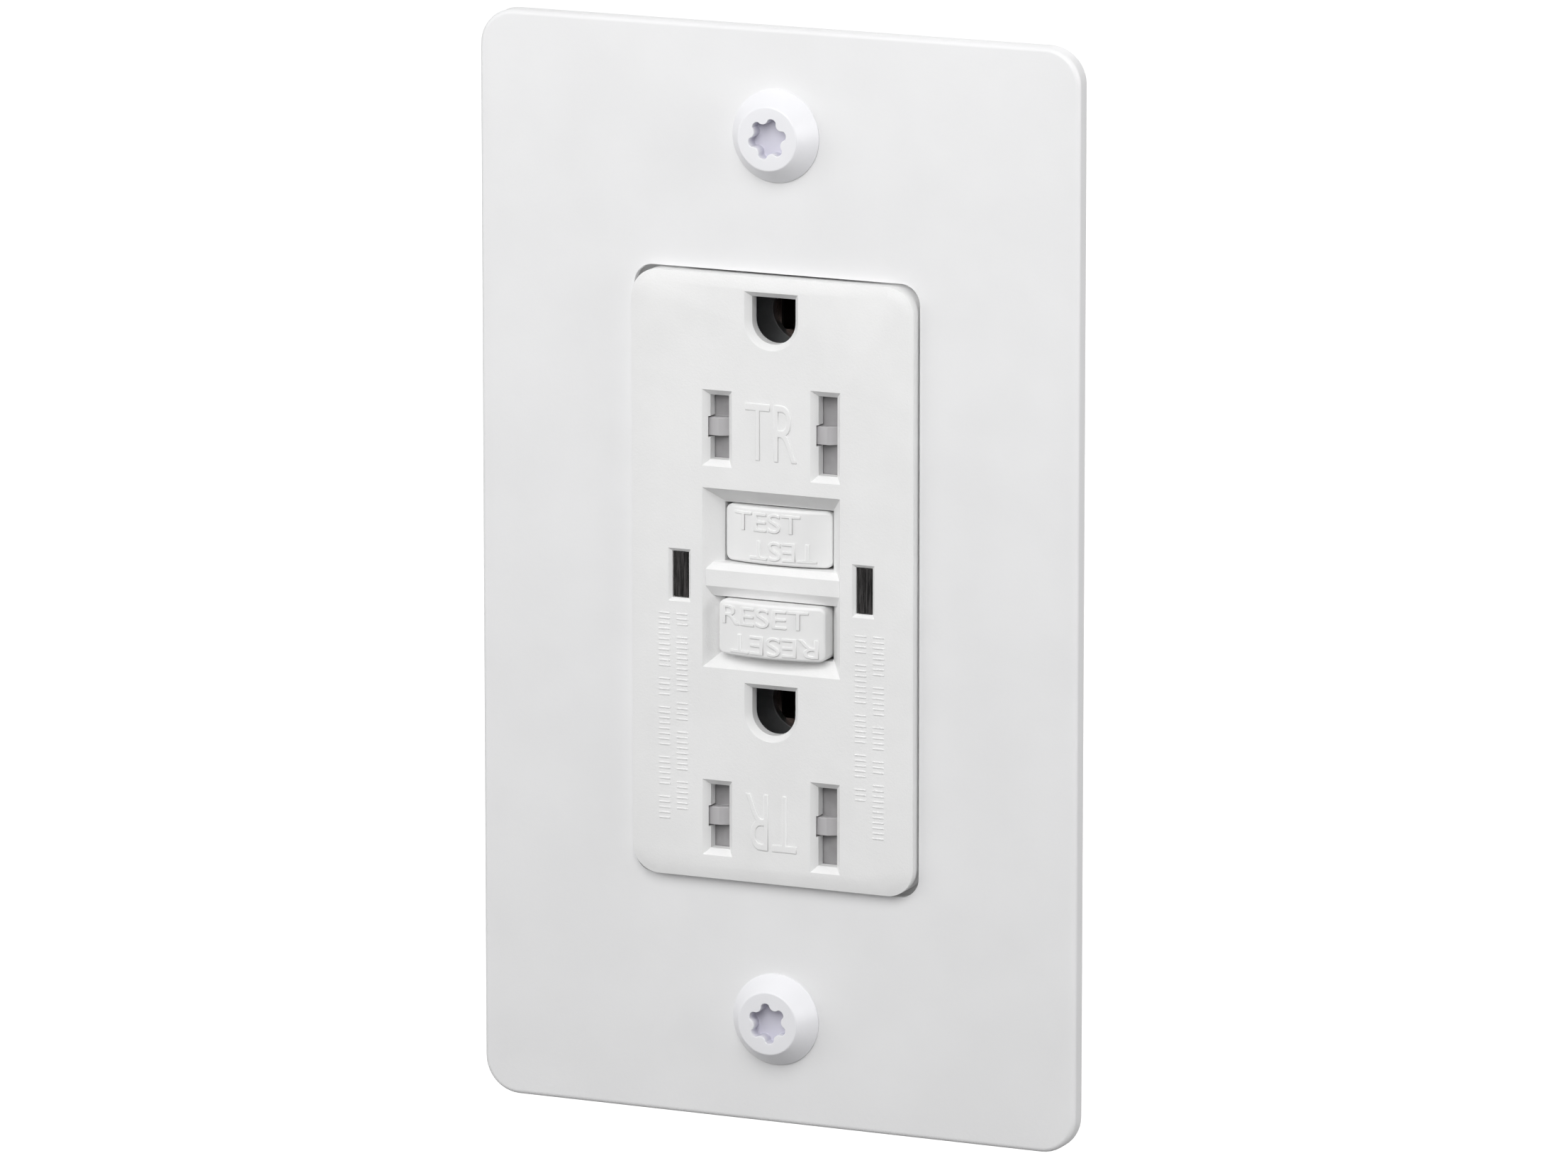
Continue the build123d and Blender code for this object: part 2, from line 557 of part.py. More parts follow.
with BuildPart() as rear_housing:
    slab(2 * housing_x, 2 * housing_z, 2.0, (strap_back, housing_back))
    fillet(rear_housing.faces().sort_by(Axis.Y)[-1].edges(), 1.0)
    block((-housing_inner_x, housing_inner_x), (strap_back, housing_back - housing_floor),
          (-housing_inner_z, housing_inner_z), Mode.SUBTRACT)
    for x in (-tube_x, tube_x):
        for z in (-tube_z, tube_z):
            rod("Y", (x, z), (strap_back, housing_back - 1), tube_radius)
            rod("Y", (x, z), (strap_back, housing_back), 1.45, Mode.SUBTRACT)
            rod("Y", (x, z), (26.4, housing_back), 2.75, Mode.SUBTRACT)
    for side in (-1, 1):
        for end in (-1, 1):
            z = end * bay_z
            inner = bay_inner - bay_wall
            block(sorted((side * inner, side * (housing_x - 1))), (bay_front, housing_back - 1),
                  (z - bay_half - bay_wall, z + bay_half + bay_wall))
            block(sorted((side * bay_inner, side * housing_inner_x)),
                  (bay_front, housing_back - housing_floor), (z - bay_half, z + bay_half),
                  Mode.SUBTRACT)
            block(sorted((side * 19, side * 22)), (bay_front, 23.8), (z - 5.6, z + 5.6),
                  Mode.SUBTRACT)
            for hole in (-wire_z, wire_z):
                slab(2.7, 3.4, 1.0, (26, 29), Mode.SUBTRACT, (side * wire_x, z + hole))
        block(sorted((side * 11, side * 13)), (14, 15.6), (bay_z - 2, bay_z + 2), Mode.SUBTRACT)
    rod("Z", (ground_x, ground_y), (-33.5, -32.3), 2.4, Mode.SUBTRACT)
save(rear_housing, "rear_housing")

with BuildPart() as housing_screws:
    for x in (-tube_x, tube_x):
        for z in (-tube_z, tube_z):
            rod("Y", (x, z), (26.45, 28.3), 2.5)
            rod("Y", (x, z), (1.8, 26.45), 1.3)
            block((x - 1.9, x + 1.9), (27.3, 28.5), (z - 0.35, z + 0.35), Mode.SUBTRACT)
            block((x - 0.35, x + 0.35), (27.3, 28.5), (z - 1.9, z + 1.9), Mode.SUBTRACT)
save(housing_screws, "housing_screws")

with BuildPart() as circuit_board:
    block((-11.0, 11.0), (board_front, board_back), (-30.5, 30.5))
    block((-16.5, 16.5), (board_front, board_back), (-10.0, 10.0))
save(circuit_board, "circuit_board")

with BuildPart() as light_pipes:
    for side in (-1, 1):
        x = side * window_x
        block((x - 0.9, x + 0.9), (cover_front + 0.45, 17.4), (-2.45, 2.45))
        block((x - 1.4, x + 1.4), (cover_wall_back, -0.7), (-2.9, 2.9))
save(light_pipes, "light_pipes")

with BuildPart() as indicator_leds:
    for side in (-1, 1):
        rod("Y", (side * window_x, 0), (17.8, 22.4), 1.25)
        for z in (-0.6, 0.6):
            block((side * window_x - 0.2, side * window_x + 0.2), (22.4, board_front),
                  (z - 0.2, z + 0.2))
save(indicator_leds, "indicator_leds")


# ---- fault sensing: two ring transformers in a plastic cup --------------------------------

with BuildPart() as transformer_cup:
    rod("Y", (0, toroid_z), (15.7, 24.3), 10.2)
    rod("Y", (0, toroid_z), (15.7, 23.4), 9.6, Mode.SUBTRACT)
    rod("Y", (0, toroid_z), (15.7, 24.3), 4.6)
    rod("Y", (0, toroid_z), (15.7, 24.3), 4.1, Mode.SUBTRACT)
save(transformer_cup, "transformer_cup")

for name, span in (("sense_transformer", (16.2, 19.4)), ("neutral_transformer", (19.9, 23.2))):
    with BuildPart() as ring:
        rod("Y", (0, toroid_z), span, 9.4)
        rod("Y", (0, toroid_z), span, 4.8, Mode.SUBTRACT)
        fillet(ring.edges().filter_by(GeomType.CIRCLE), 1.0)
    save(ring, name)


# ---- trip solenoid, latch and lifter ------------------------------------------------------

coil_top, coil_low = -14.4, -26.0
with BuildPart() as solenoid_frame:
    for z in ((coil_top, coil_top + 1.2), (coil_low - 1.2, coil_low)):
        block((-4.6, 4.6), (14.6, 24.2), z)
    block((-4.6, 4.6), (14.6, 15.7), (coil_low, coil_top))
    rod("Z", (0, coil_axis_y), (coil_top, coil_top + 1.2), 2.4, Mode.SUBTRACT)
save(solenoid_frame, "solenoid_frame")

with BuildPart() as solenoid_bobbin:
    rod("Z", (0, coil_axis_y), (coil_low + 0.1, coil_top - 0.1), 2.9)
    for z in ((coil_low + 0.1, coil_low + 0.8), (coil_top - 0.8, coil_top - 0.1)):
        rod("Z", (0, coil_axis_y), z, 4.2)
    rod("Z", (0, coil_axis_y), (coil_low, coil_top), 2.3, Mode.SUBTRACT)
save(solenoid_bobbin, "solenoid_bobbin")

with BuildPart() as solenoid_coil:
    rod("Z", (0, coil_axis_y), (coil_low + 0.9, coil_top - 0.9), 4.1)
    rod("Z", (0, coil_axis_y), (coil_low, coil_top), 2.95, Mode.SUBTRACT)
save(solenoid_coil, "solenoid_coil")

with BuildPart() as plunger:
    rod("Z", (0, coil_axis_y), (-23.4, -11.5), 2.2)
    rod("Z", (0, coil_axis_y), (-11.5, -10.5), neck_radius)
    rod("Z", (0, coil_axis_y), (-10.5, -9.7), 1.5)
save(plunger, "plunger")
plunger_spring = coil_spring("Z", (0, coil_axis_y), (coil_low, -23.4), 1.7, 0.2, 3)
save(plunger_spring, "plunger_spring")

# the keyhole lets the stem's shoulder through where it is wide, and holds it where it is narrow
with BuildPart() as latch_plate:
    block((-2.2, 2.2), (latch_front, latch_front + latch_sheet), (-11.4, -3.0))
    rod("Y", (0, reset_z), (17, 19), shoulder_radius + 0.2, Mode.SUBTRACT)
    block((-0.95, 0.95), (17, 19), (reset_z - 2.15, reset_z), Mode.SUBTRACT)
    block((-2.4, 2.4), (latch_front, 22.6), (-11.4, -10.6))
    block((-1.0, 1.0), (18.6, 23), (-12, -10), Mode.SUBTRACT)
save(latch_plate, "latch_plate")

with BuildPart() as lifter:
    block((-4.8, 4.8), (16.2, 20.6), (-8.2, -2.3))
    for side in (-1, 1):
        block(sorted((side * 4.8, side * 15.4)), (19.1, 20.6), (reset_z - 1, reset_z + 1))
    block((-2.4, 2.4), (latch_front - 0.1, latch_front + latch_sheet + 0.1), (-9, -2), Mode.SUBTRACT)
    rod("Y", (0, reset_z), (16, 21), shoulder_radius + 0.3, Mode.SUBTRACT)
save(lifter, "lifter")


# ---- electronics on the board -------------------------------------------------------------

with BuildPart() as varistor:
    rod("X", (19.6, -20.0), (-9.8, -6.4), 4.2)
    for z in (-22.0, -18.0):
        block((-8.3, -7.9), (23.0, board_front), (z - 0.3, z + 0.3))
save(varistor, "varistor")

with BuildPart() as thyristor:
    with BuildSketch(facing(board_front - 1.5)):
        with Locations((8.0, -14.5)):
            Circle(2.3)
            with Locations((0, -2.3)):
                Rectangle(5, 2, mode=Mode.SUBTRACT)
    extrude(amount=4.6)
    for x in (6.8, 8.0, 9.2):
        block((x - 0.2, x + 0.2), (board_front - 1.5, board_front), (-14.2, -13.8))
save(thyristor, "thyristor")

with BuildPart() as filter_capacitor:
    rod("Y", (8.0, -23.6), (16.8, board_front), 2.7)
    fillet(filter_capacitor.edges().filter_by(GeomType.CIRCLE), 0.4)
save(filter_capacitor, "filter_capacitor")

with BuildPart() as controller_chip:
    block((-2.0, 2.0), (22.9, 24.3), (1.6, 6.6))
    for side in (-1, 1):
        for row in range(4):
            z = 2.2 + 1.27 * row
            block(sorted((side * 2.0, side * 3.0)), (24.1, board_front), (z - 0.2, z + 0.2))
save(controller_chip, "controller_chip")
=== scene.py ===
"""Finishes, soft edges, raised marks and studio for a white ground-fault outlet in its wall plate.

Metres throughout. +X is right as seen from the room, +Y runs into the wall and +Z is up.
"""
import json
from math import cos, pi, radians, sin, sqrt

import bmesh
import bpy
from mathutils import Matrix, Vector


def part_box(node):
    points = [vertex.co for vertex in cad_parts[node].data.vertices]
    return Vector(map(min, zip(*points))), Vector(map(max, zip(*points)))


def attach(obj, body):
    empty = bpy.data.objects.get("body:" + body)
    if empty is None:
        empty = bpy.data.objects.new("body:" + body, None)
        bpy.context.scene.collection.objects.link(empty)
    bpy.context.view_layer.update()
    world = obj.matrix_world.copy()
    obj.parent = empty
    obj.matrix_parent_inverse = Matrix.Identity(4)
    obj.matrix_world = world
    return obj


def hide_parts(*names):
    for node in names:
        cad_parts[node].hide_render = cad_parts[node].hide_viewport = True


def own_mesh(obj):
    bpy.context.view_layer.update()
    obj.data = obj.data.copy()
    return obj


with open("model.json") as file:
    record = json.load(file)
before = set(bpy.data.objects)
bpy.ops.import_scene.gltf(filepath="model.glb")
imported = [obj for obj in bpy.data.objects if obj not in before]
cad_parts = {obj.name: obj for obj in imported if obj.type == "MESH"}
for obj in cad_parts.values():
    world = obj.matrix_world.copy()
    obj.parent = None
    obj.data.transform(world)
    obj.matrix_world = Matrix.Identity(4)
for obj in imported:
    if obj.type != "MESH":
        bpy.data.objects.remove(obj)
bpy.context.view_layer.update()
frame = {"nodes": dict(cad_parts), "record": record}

MM = 0.001
PLATE_SCREW_Z, SOCKET_REACH = 48.4 * MM, 2.7 * MM
SOCKET_MOUTH_Y, SOCKET_DEEP_Y = -4.3 * MM, -3.4 * MM
GROUND_CONTACT_REACH = 4.5 * MM
NOSE_BACK_Y, NOSE_TIP_Y = -1.5 * MM, -2.3 * MM
KEY_HALF_WIDTH, KEY_CROWN = 6.25 * MM, 1.0 * MM
LETTER_HEIGHT, LETTER_RELIEF, LETTER_WEIGHT = 2.1 * MM, 0.15 * MM, -0.014
MARK_Z = {"upper": 16.4 * MM, "lower": -26.4 * MM}
MARK_HALF_WIDTH, MARK_HALF_HEIGHT, MARK_RELIEF, MARK_WEIGHT = 3.0 * MM, 3.1 * MM, 0.12 * MM, -0.022
RING_INNER_RADIUS, RING_WIRE, COIL_WIRE = 4.8 * MM, 0.09 * MM, 0.1 * MM
FLOOR_SIZE, FLOOR_Z = 14, -0.75
WHITE = (1, 1, 1, 1)
NODES = frame["nodes"]
BODY_OF = {node: body for body, members in frame["record"]["behaviour"]["bodies"].items()
           for node in members}
SLOT_OF = {part["node"]: part["material_slot"] for part in frame["record"]["subparts"]}


# ---- camera --------------------------------------------------------------------------------

def toward(azimuth, elevation):
    """The direction from the object to a point at this azimuth and elevation, in degrees."""
    turn, lift = radians(azimuth), radians(elevation)
    return Vector((sin(turn) * cos(lift), -cos(turn) * cos(lift), sin(lift)))


def look_along(back):
    """The rotation of a camera or light whose back points this way, held level."""
    right = Vector((0, 0, 1)).cross(back).normalized()
    return Matrix((right, back.cross(right), back)).transposed()


def make_camera():
    azimuth, elevation, distance, drop = 24.25, 11.84, 1.27167, 0.00108
    back = toward(azimuth, elevation)
    rotation = look_along(back)
    data = bpy.data.cameras.new("studio_camera")
    data.lens, data.sensor_width = 271.8, 36
    camera = bpy.data.objects.new("studio_camera", data)
    bpy.context.scene.collection.objects.link(camera)
    place = back * distance - rotation.col[1] * drop
    camera.matrix_world = Matrix.Translation(place) @ rotation.to_4x4()
    bpy.context.scene.camera = camera


make_camera()


# ---- node helpers --------------------------------------------------------------------------

def put(tree, kind, inputs=None, **settings):
    """Adds a shader node; each input is a value, or a socket to link from."""
    made = tree.nodes.new("ShaderNode" + kind)
    for key, value in settings.items():
        setattr(made, key, value)
    for key, value in (inputs or {}).items():
        if isinstance(value, bpy.types.NodeSocket):
            tree.links.new(value, made.inputs[key])
        else:
            made.inputs[key].default_value = value
    return made


def calculate(tree, operation, first, second):
    """The result of one sum."""
    return put(tree, "Math", {0: first, 1: second}, operation=operation).outputs[0]


def blend_colours(tree, factor, first, second):
    """A mix of two colours by a mask."""
    mix = put(tree, "Mix", data_type="RGBA")
    for number, value in zip((0, 6, 7), (factor, first, second)):
        socket = mix.inputs[number]
        if isinstance(value, bpy.types.NodeSocket):
            tree.links.new(value, socket)
        else:
            socket.default_value = value
    return mix.outputs[2]


def start_group(name, inputs, outputs):
    """An empty node group with its named sockets."""
    group = bpy.data.node_groups.new(name, "ShaderNodeTree")
    for label, kind, value in inputs:
        socket = group.interface.new_socket(label, in_out="INPUT", socket_type="NodeSocket" + kind)
        socket.default_value = value
    for label, kind in outputs:
        group.interface.new_socket(label, in_out="OUTPUT", socket_type="NodeSocket" + kind)
    given, out = group.nodes.new("NodeGroupInput"), group.nodes.new("NodeGroupOutput")
    return group, given.outputs, out.inputs


def place_group(tree, group, **values):
    """A group in a material, with this material's own values; spaces in names are underscores."""
    made = tree.nodes.new("ShaderNodeGroup")
    made.node_tree = group
    for key, value in values.items():
        made.inputs[key.replace("_", " ")].default_value = value
    return made.outputs


# ---- shared effects ------------------------------------------------------------------------

def make_fine_grain():
    """A moulded or sprayed skin: fine grain in the height, and broad faint clouds."""
    group, given, out = start_group(
        "fine_grain",
        [("Grain", "Float", 0.0002), ("Cloud", "Float", 0.006)],
        [("Height", "Float"), ("Clouds", "Float"), ("Speck", "Float")])
    place = put(group, "TexCoord").outputs["Object"]
    fine = put(group, "TexNoise", {"Vector": place, "Detail": 3.0, "Roughness": 0.6,
                                   "Scale": calculate(group, "DIVIDE", 1.0, given["Grain"])})
    broad = put(group, "TexNoise", {"Vector": place, "Detail": 2.0, "Roughness": 0.5,
                                    "Scale": calculate(group, "DIVIDE", 1.0, given["Cloud"])})
    clouds = put(group, "MapRange", {"Value": broad.outputs["Fac"], "From Min": 0.35,
                                     "From Max": 0.65})
    speck = put(group, "MapRange", {"Value": fine.outputs["Fac"], "From Min": 0.4,
                                    "From Max": 0.72})
    group.links.new(fine.outputs["Fac"], out["Height"])
    group.links.new(clouds.outputs[0], out["Clouds"])
    group.links.new(speck.outputs[0], out["Speck"])
    return group


def make_drawn_lines():
    """Fine lines left by rolling or drawing metal along one direction."""
    group, given, out = start_group(
        "drawn_lines",
        [("Stretch", "Vector", (9000, 9000, 400))],
        [("Lines", "Float")])
    place = put(group, "TexCoord").outputs["Object"]
    stretched = put(group, "VectorMath", {0: place, 1: given["Stretch"]}, operation="MULTIPLY")
    lines = put(group, "TexNoise", {"Vector": stretched.outputs[0], "Scale": 1.0, "Detail": 4.0,
                                    "Roughness": 0.7}).outputs["Fac"]
    group.links.new(lines, out["Lines"])
    return group


def make_edge_rub():
    """A mask of the outer edges, broken up, where handling has rubbed the finish."""
    group, given, out = start_group(
        "edge_rub", [("Reach", "Float", 0.0004), ("Patch", "Float", 0.0015)], [("Rub", "Float")])
    turned = put(group, "Bevel", {"Radius": given["Reach"]}, samples=4).outputs[0]
    facing = put(group, "NewGeometry").outputs["Normal"]
    flat = put(group, "VectorMath", {0: turned, 1: facing}, operation="DOT_PRODUCT")
    edge = put(group, "MapRange", {"Value": flat.outputs["Value"], "From Min": 0.995,
                                   "From Max": 0.8})
    place = put(group, "TexCoord").outputs["Object"]
    patches = put(group, "TexNoise", {"Vector": place, "Detail": 3.0,
                                      "Scale": calculate(group, "DIVIDE", 1.0, given["Patch"])})
    broken = put(group, "MapRange", {"Value": patches.outputs["Fac"], "From Min": 0.35,
                                     "From Max": 0.6})
    group.links.new(calculate(group, "MULTIPLY", edge.outputs[0], broken.outputs[0]), out["Rub"])
    return group


def make_plating_bloom():
    """The crystal patches and dull bloom of zinc or nickel plating."""
    group, given, out = start_group(
        "plating_bloom", [("Crystal", "Float", 0.0012)],
        [("Patch", "Float"), ("Bloom", "Float")])
    place = put(group, "TexCoord").outputs["Object"]
    scale = calculate(group, "DIVIDE", 1.0, given["Crystal"])
    crystals = put(group, "TexVoronoi", {"Vector": place, "Scale": scale, "Randomness": 1.0})
    bloom = put(group, "TexNoise", {"Vector": place, "Detail": 4.0, "Roughness": 0.65,
                                    "Scale": calculate(group, "MULTIPLY", scale, 0.3)})
    shade = put(group, "SeparateColor", {0: crystals.outputs["Color"]})
    group.links.new(shade.outputs[0], out["Patch"])
    group.links.new(bloom.outputs["Fac"], out["Bloom"])
    return group


FINE_GRAIN = make_fine_grain()
DRAWN_LINES = make_drawn_lines()
EDGE_RUB = make_edge_rub()
PLATING_BLOOM = make_plating_bloom()


# ---- finishes ------------------------------------------------------------------------------

def start_material(name, **constants):
    """A material and its Principled shader, with constants set on the shader's own sockets."""
    material = bpy.data.materials.new(name)
    material.use_nodes = True
    tree = material.node_tree
    shader = tree.nodes["Principled BSDF"]
    for key, value in constants.items():
        shader.inputs[key.replace("_", " ")].default_value = value
    return material, tree, shader


def spread(tree, socket, low, high):
    """Maps a mask from 0..1 onto a range."""
    return put(tree, "MapRange", {"Value": socket, "To Min": low, "To Max": high}).outputs[0]


def set_bump(tree, shader, height, distance):
    """Feeds a height into the shader's normal; distance is the relief in metres."""
    bump = put(tree, "Bump", {"Height": height, "Distance": distance, "Strength": 1.0})
    tree.links.new(bump.outputs[0], shader.inputs["Normal"])


def opaque(colour):
    return (*colour, 1.0)


def shaded(colour, share):
    """The same colour, lighter or darker."""
    return opaque([channel * share for channel in colour])


def moulded_plastic(name, colour, rough, grain, relief, cloud=0.006, drift=0.97, **constants):
    """A moulded thermoplastic with a spark-textured skin and faint flow clouds."""
    material, tree, shader = start_material(name, **constants)
    skin = place_group(tree, FINE_GRAIN, Grain=grain, Cloud=cloud)
    colours = blend_colours(tree, skin["Clouds"], shaded(colour, drift), opaque(colour))
    tree.links.new(colours, shader.inputs["Base Color"])
    tree.links.new(spread(tree, skin["Speck"], rough - 0.06, rough + 0.08),
                   shader.inputs["Roughness"])
    set_bump(tree, shader, skin["Height"], relief)
    return material


def powder_coat(name, colour, rough, grain, relief):
    """A baked powder coat: a soft orange-peel skin, slightly thin and glossy on its edges."""
    material, tree, shader = start_material(name, Coat_Weight=0.08, Coat_Roughness=0.3)
    skin = place_group(tree, FINE_GRAIN, Grain=grain, Cloud=0.009)
    rub = place_group(tree, EDGE_RUB, Reach=0.0005, Patch=0.0022)
    base = blend_colours(tree, skin["Clouds"], shaded(colour, 0.975), opaque(colour))
    colours = blend_colours(tree, rub["Rub"], base, shaded(colour, 1.03))
    tree.links.new(colours, shader.inputs["Base Color"])
    satin = spread(tree, skin["Speck"], rough - 0.05, rough + 0.07)
    tree.links.new(calculate(tree, "SUBTRACT", satin, calculate(tree, "MULTIPLY", rub["Rub"], 0.1)),
                   shader.inputs["Roughness"])
    set_bump(tree, shader, skin["Height"], relief)
    return material


def recolour(material, mask_at, colour):
    """Blends another colour into a finish where mask_at, given x, y and z, says so."""
    tree = material.node_tree
    base = tree.nodes["Principled BSDF"].inputs["Base Color"]
    first = base.links[0].from_socket
    place = put(tree, "SeparateXYZ", {0: put(tree, "TexCoord").outputs["Object"]}).outputs
    tree.links.new(blend_colours(tree, mask_at(tree, *place), first, opaque(colour)), base)


def socket_painted_shade(tree, x, y, z):
    """The deep six-lobed sockets of the plate screws, darker deeper in: painted shade."""
    from_centre = calculate(tree, "SUBTRACT", calculate(tree, "ABSOLUTE", z, 0.0), PLATE_SCREW_Z)
    squares = [calculate(tree, "POWER", side, 2.0) for side in (x, from_centre)]
    radius = calculate(tree, "SQRT", calculate(tree, "ADD", *squares), 0.0)
    inside = calculate(tree, "LESS_THAN", radius, SOCKET_REACH)
    deep = put(tree, "MapRange", {"Value": y, "From Min": SOCKET_MOUTH_Y,
                                  "From Max": SOCKET_DEEP_Y})
    return calculate(tree, "MULTIPLY", inside, deep.outputs[0])


def ground_hole_painted_shade(tree, x, y, z):
    """The middle of the outlet, where the ground contacts stand in their deep holes: painted shade
    that darkens the brass there.
    """
    return calculate(tree, "LESS_THAN", calculate(tree, "ABSOLUTE", x, 0.0), GROUND_CONTACT_REACH)


def nose_painted_light(tree, x, y, z):
    """The noses of the shutters, lighter towards the face: painted light."""
    return put(tree, "MapRange", {"Value": y, "From Min": NOSE_BACK_Y,
                                  "From Max": NOSE_TIP_Y}).outputs[0]


def plated_metal(name, colour, rough, crystal, stretch, dull=0.78):
    """Plated metal: crystal patches, dull bloom, rolling lines and brighter rubbed edges."""
    material, tree, shader = start_material(name, Metallic=1.0)
    plating = place_group(tree, PLATING_BLOOM, Crystal=crystal)
    lines = place_group(tree, DRAWN_LINES, Stretch=stretch)["Lines"]
    rub = place_group(tree, EDGE_RUB, Reach=0.0003, Patch=0.001)
    patches = blend_colours(tree, plating["Patch"], shaded(colour, 0.9), opaque(colour))
    bloomed = blend_colours(tree, plating["Bloom"], patches, shaded(colour, dull))
    bright = blend_colours(tree, rub["Rub"], bloomed, shaded(colour, 1.12))
    tree.links.new(bright, shader.inputs["Base Color"])
    hazy = spread(tree, plating["Bloom"], rough - 0.08, rough + 0.16)
    tree.links.new(calculate(tree, "SUBTRACT", hazy, calculate(tree, "MULTIPLY", rub["Rub"], 0.12)),
                   shader.inputs["Roughness"])
    set_bump(tree, shader, lines, 3e-6)
    return material


def smoked_lens(name):
    """Dark clear plastic with drag lines up its length and a deep gloss."""
    material, tree, shader = start_material(name, Coat_Weight=0.3, Coat_Roughness=0.12,
                                            Specular_IOR_Level=0.45)
    lines = place_group(tree, DRAWN_LINES, Stretch=(5200, 900, 260))["Lines"]
    band = put(tree, "MapRange", {"Value": lines, "From Min": 0.4, "From Max": 0.66})
    colours = blend_colours(tree, band.outputs[0], (0.006, 0.0055, 0.0055, 1),
                            (0.06, 0.056, 0.056, 1))
    tree.links.new(colours, shader.inputs["Base Color"])
    tree.links.new(spread(tree, lines, 0.12, 0.42), shader.inputs["Roughness"])
    set_bump(tree, shader, lines, 1.2e-5)
    return material


def circuit_board_mask(name):
    """Green solder mask over copper tracks, which show paler and stand a little proud."""
    material, tree, shader = start_material(name, Coat_Weight=0.35, Coat_Roughness=0.15)
    place = put(tree, "TexCoord").outputs["Object"]
    scaled = put(tree, "VectorMath", {0: place, 1: (420, 420, 420)}, operation="MULTIPLY")
    tracks = put(tree, "TexBrick", {"Vector": scaled.outputs[0], "Color1": WHITE,
                                    "Color2": (0.6, 0.6, 0.6, 1), "Mortar": (0, 0, 0, 1),
                                    "Scale": 1.0, "Mortar Size": 0.06, "Brick Width": 1.4,
                                    "Row Height": 0.55}).outputs["Fac"]
    skin = place_group(tree, FINE_GRAIN, Grain=0.0004, Cloud=0.004)
    mask = blend_colours(tree, skin["Clouds"], (0.012, 0.13, 0.05, 1), (0.02, 0.17, 0.07, 1))
    colours = blend_colours(tree, tracks, mask, (0.05, 0.3, 0.12, 1))
    tree.links.new(colours, shader.inputs["Base Color"])
    tree.links.new(spread(tree, skin["Speck"], 0.28, 0.42), shader.inputs["Roughness"])
    set_bump(tree, shader, tracks, 2e-5)
    return material


def enamelled_wire(name):
    """Copper wire under amber enamel."""
    material, tree, shader = start_material(name, Metallic=0.85, Coat_Weight=0.5,
                                            Coat_Roughness=0.12)
    skin = place_group(tree, FINE_GRAIN, Grain=0.0008, Cloud=0.002)
    colours = blend_colours(tree, skin["Clouds"], (0.42, 0.13, 0.045, 1), (0.66, 0.27, 0.1, 1))
    tree.links.new(colours, shader.inputs["Base Color"])
    tree.links.new(spread(tree, skin["Speck"], 0.22, 0.38), shader.inputs["Roughness"])
    set_bump(tree, shader, skin["Height"], 1e-5)
    return material


def clear_epoxy(name):
    """Clear cast epoxy, slightly hazy, with small flow marks."""
    material, tree, shader = start_material(name, Transmission_Weight=0.55, IOR=1.5)
    skin = place_group(tree, FINE_GRAIN, Grain=0.0006, Cloud=0.0015)
    colours = blend_colours(tree, skin["Clouds"], (0.7, 0.7, 0.68, 1), (0.85, 0.85, 0.83, 1))
    tree.links.new(colours, shader.inputs["Base Color"])
    tree.links.new(spread(tree, skin["Speck"], 0.08, 0.2), shader.inputs["Roughness"])
    set_bump(tree, shader, skin["Height"], 6e-6)
    return material


ROLLED_UP, ROLLED_ACROSS, TURNED = (9000, 9000, 420), (420, 9000, 9000), (2600, 9000, 2600)
FINISHES = {
    "plate_coat": powder_coat("white_powder_coat", (0.86, 0.86, 0.865), 0.5, 0.00042, 1.1e-5),
    "screw_coat": powder_coat("screw_powder_coat", (0.87, 0.87, 0.895), 0.38, 0.0006, 1.0e-5),
    "face_plastic": moulded_plastic("face_plastic", (0.87, 0.87, 0.868), 0.5, 0.00022, 2.2e-5),
    "key_plastic": moulded_plastic("key_plastic", (0.87, 0.87, 0.868), 0.42, 0.0002, 5e-6),
    "shutter_plastic": moulded_plastic("shutter_plastic", (0.36, 0.353, 0.36), 0.4, 0.0003, 6e-6,
                                       cloud=0.0018, drift=0.86),
    "smoked_lens": smoked_lens("smoked_lens"),
    "housing_plastic": moulded_plastic("housing_plastic", (0.5, 0.51, 0.53), 0.5, 0.0003, 2e-5,
                                       cloud=0.011, drift=0.965),
    "carrier_plastic": moulded_plastic("carrier_plastic", (0.68, 0.66, 0.6), 0.45, 0.0004, 1e-5,
                                       drift=0.93),
    "zinc_steel": plated_metal("zinc_steel", (0.66, 0.67, 0.69), 0.36, 0.0011, ROLLED_UP),
    "plated_screw": plated_metal("plated_screw", (0.7, 0.7, 0.7), 0.3, 0.0005, TURNED),
    "brass_part": plated_metal("rolled_brass", (0.74, 0.53, 0.23), 0.32, 0.002, ROLLED_UP,
                               dull=0.72),
    "nickel_part": plated_metal("nickel_plate", (0.74, 0.72, 0.69), 0.28, 0.0014, ROLLED_ACROSS),
    "green_screw": plated_metal("green_dyed_zinc", (0.04, 0.34, 0.12), 0.34, 0.0007, TURNED),
    "board": circuit_board_mask("solder_mask"),
    "copper_winding": enamelled_wire("enamelled_copper"),
    "spring_steel": plated_metal("spring_wire", (0.52, 0.52, 0.53), 0.26, 0.0008, ROLLED_UP),
    "black_part": moulded_plastic("moulded_black", (0.028, 0.028, 0.03), 0.4, 0.0003, 1e-5,
                                  drift=0.7),
    "blue_part": moulded_plastic("dipped_epoxy", (0.04, 0.13, 0.42), 0.3, 0.0012, 3e-5,
                                 cloud=0.002, drift=0.8, Coat_Weight=0.4, Coat_Roughness=0.1),
    "led_clear": clear_epoxy("clear_epoxy"),
}
